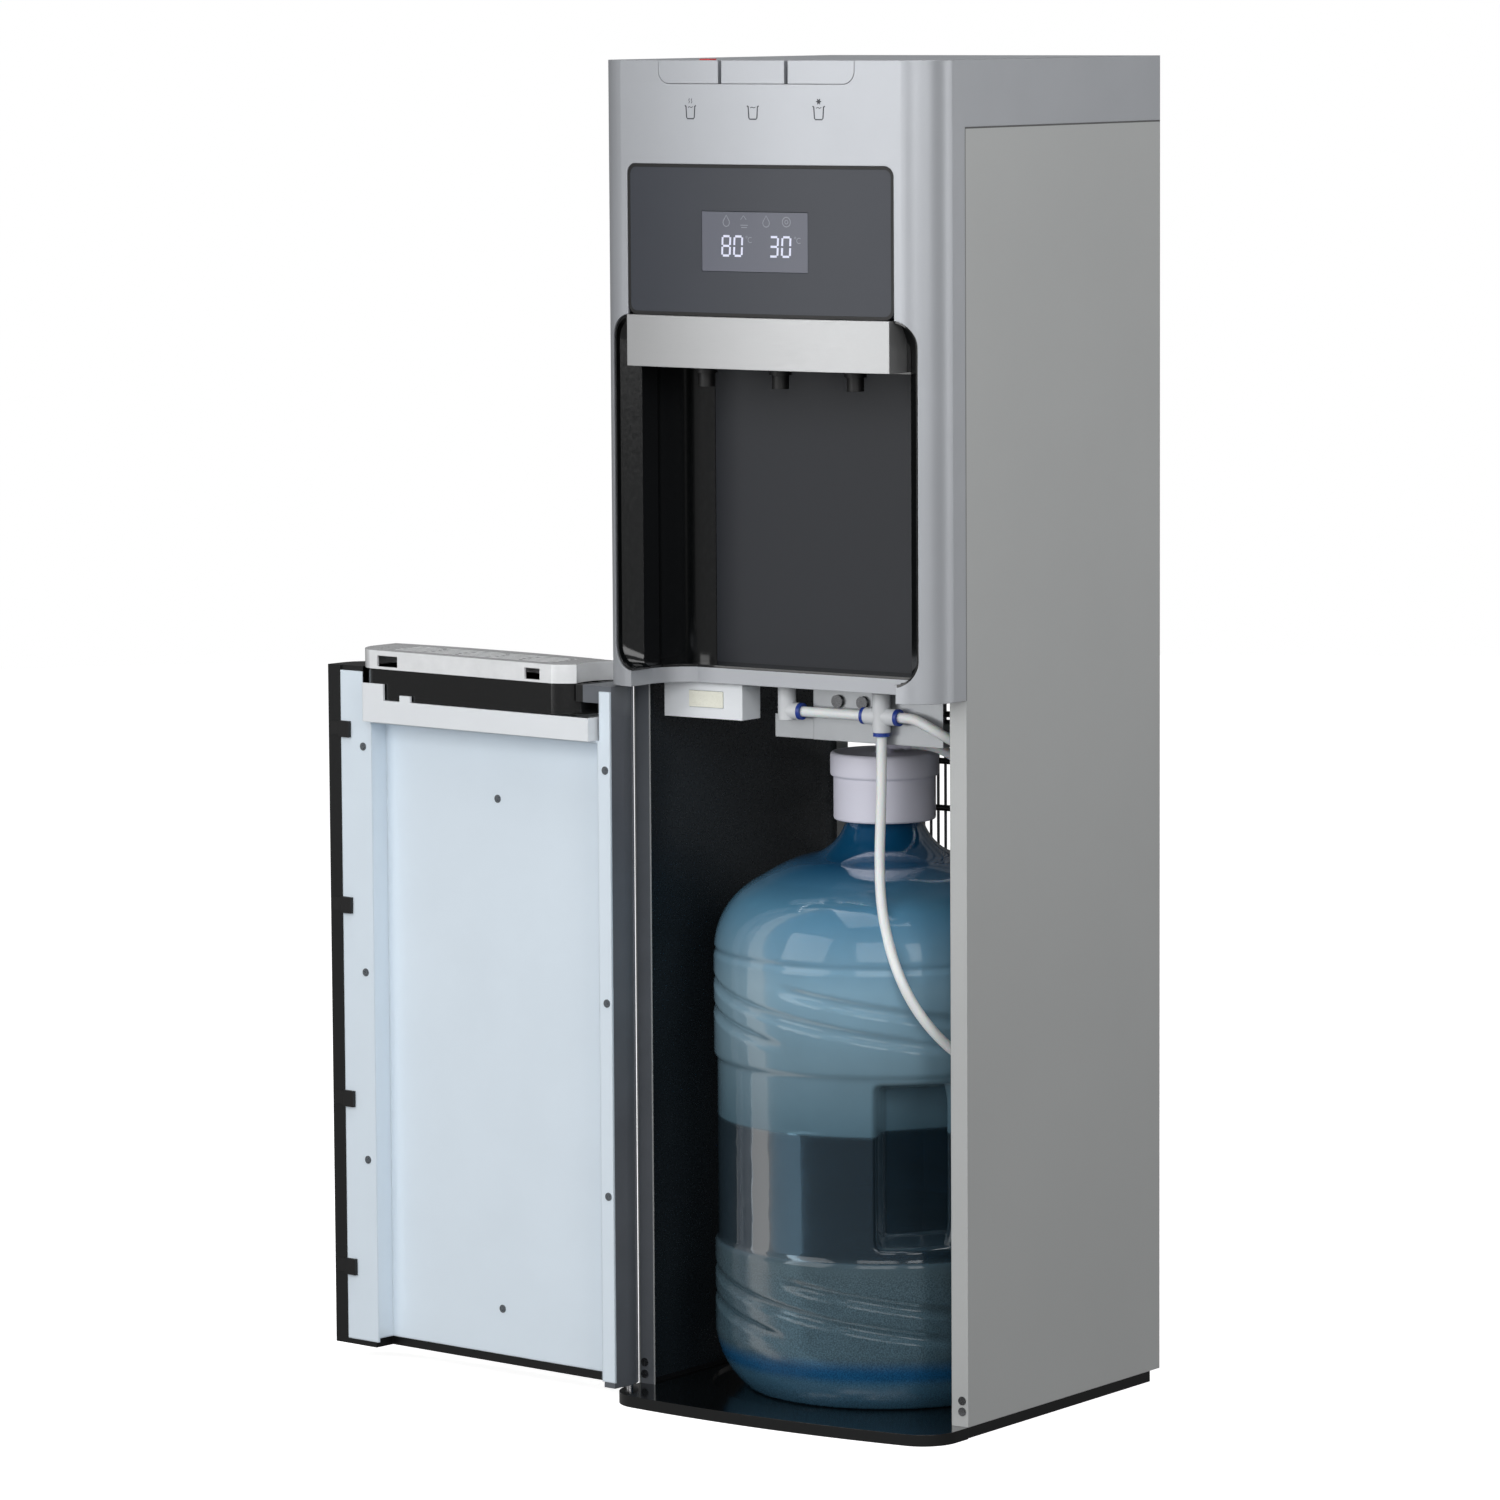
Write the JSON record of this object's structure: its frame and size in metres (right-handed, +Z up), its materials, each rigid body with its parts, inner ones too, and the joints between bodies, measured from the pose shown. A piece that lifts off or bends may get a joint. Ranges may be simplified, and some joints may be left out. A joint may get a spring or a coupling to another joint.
{
  "type": "water cooler",
  "caption": "Freestanding bottom load water cooler, its door swung open on the bottle inside, with a tap alcove above and a lift-out drip tray on the door.",
  "frame": {"origin": "on the floor under the middle of the side panels", "axes": "+X to the right seen from the front, +Y to the back, +Z up; the door is stored standing open"},
  "size_m": [0.6041, 0.3479, 1.046],
  "materials": {
    "silver_moulding": "satin silver paint on moulded plastic",
    "side_sheet": "satin silver-grey paint",
    "black_gloss": "gloss black",
    "black_matte": "fine textured black",
    "dark_grey": "dark grey",
    "slate": "satin slate grey",
    "window_grey": "smoked window",
    "cover_steel": "horizontally brushed",
    "alcove_back": "blue-grey gloss",
    "liner_white": "vacuum-formed, cool white",
    "white_plastic": "white",
    "grille_chrome": "bright plated",
    "bottle_blue": "clear blue polycarbonate",
    "water": "clear water",
    "cap_lilac": "pale lilac-grey",
    "hose_white": "milky white",
    "ring_blue": "blue",
    "fitting_grey": "pale grey",
    "bracket_grey": "grey paint",
    "steel": "plain",
    "zinc": "zinc plated sheet",
    "condenser_black": "black paint",
    "copper": "copper",
    "foam": "foamed jacket",
    "rubber_black": "black",
    "circuit_green": "circuit board",
    "lens_white": "frosted",
    "lock_red": "red"
  },
  "bodies": {
    "cabinet": {"base_tray": "black_gloss", "left_side_panel": "side_sheet", "right_side_panel": "side_sheet", "left_liner": "black_gloss", "right_liner": "black_gloss", "front_fascia": "silver_moulding", "top_cover": "silver_moulding", "display_panel": "slate", "display_window": "window_grey", "display_board": "circuit_green", "tap_cover": "cover_steel", "dispenser_alcove": "black_gloss", "alcove_back_panel": "alcove_back", "tap_nozzles": "black_matte", "mid_shelf": "zinc", "tank_shelf": "zinc", "rear_panel": "zinc", "condenser_brackets": "condenser_black", "condenser_tube": "condenser_black", "condenser_wires": "condenser_black", "compressor": "condenser_black", "compressor_bushes": "rubber_black", "cold_tank": "foam", "evaporator_coil": "copper", "hot_tank": "steel", "heater_band": "steel", "tap_lines": "hose_white", "water_pump": "black_matte", "control_board": "circuit_green", "tube_bracket": "bracket_grey", "tube_fittings": "fitting_grey", "fitting_rings": "ring_blue", "cross_tube": "hose_white", "pump_tube": "hose_white", "supply_hose": "hose_white", "lamp_housing": "white_plastic", "lamp_lens": "lens_white", "cord_gland": "black_matte", "switch_bezel": "black_matte", "drain_plug": "black_matte", "cabinet_screws": "steel", "hinge_pins": "steel", "bottle": "bottle_blue", "bottle_water": "water", "bottle_cap": "cap_lilac", "dip_tube": "fitting_grey"},
    "door": {"door_panel": "silver_moulding", "door_frame": "dark_grey", "door_liner": "liner_white", "door_clips": "black_matte", "door_screws": "steel", "tray_bracket": "white_plastic"},
    "drip_tray": {"drip_basin": "black_matte"},
    "tray_grille": {"drip_grille": "grille_chrome"},
    "hot_key": {"hot_button": "silver_moulding"},
    "room_key": {"room_button": "silver_moulding"},
    "cold_key": {"cold_button": "silver_moulding"},
    "lock_slider": {"child_lock": "lock_red"},
    "heating_rocker": {"heating_switch": "lock_red"},
    "cooling_rocker": {"cooling_switch": "black_matte"}
  },
  "joints": [
    {"name": "door_hinge", "type": "hinge", "parent": "cabinet", "child": "door", "pos_m": [-0.148, -0.1602, 0.288], "axis": [0, 0, 1], "range_deg": [-4, 186]},
    {"name": "tray_lift", "type": "slide", "parent": "door", "child": "drip_tray", "axis": [0, 0, 1], "range_m": [0, 0.045]},
    {"name": "grille_lift", "type": "slide", "parent": "drip_tray", "child": "tray_grille", "axis": [0, 0, 1], "range_m": [0, 0.02]},
    {"name": "hot_press", "type": "slide", "parent": "cabinet", "child": "hot_key", "axis": [0, 1, 0], "range_m": [0, 0.003], "stiffness_N_per_m": 350},
    {"name": "room_press", "type": "slide", "parent": "cabinet", "child": "room_key", "axis": [0, 1, 0], "range_m": [0, 0.003], "stiffness_N_per_m": 350},
    {"name": "cold_press", "type": "slide", "parent": "cabinet", "child": "cold_key", "axis": [0, 1, 0], "range_m": [0, 0.003], "stiffness_N_per_m": 350},
    {"name": "lock_slide", "type": "slide", "parent": "hot_key", "child": "lock_slider", "axis": [1, 0, 0], "range_m": [0, 0.006]},
    {"name": "heating_rock", "type": "hinge", "parent": "cabinet", "child": "heating_rocker", "pos_m": [0.066, 0.1335, 0.967], "axis": [1, 0, 0], "range_deg": [-14, 0]},
    {"name": "cooling_rock", "type": "hinge", "parent": "cabinet", "child": "cooling_rocker", "pos_m": [0.094, 0.1335, 0.967], "axis": [1, 0, 0], "range_deg": [-14, 0]}
  ]
}
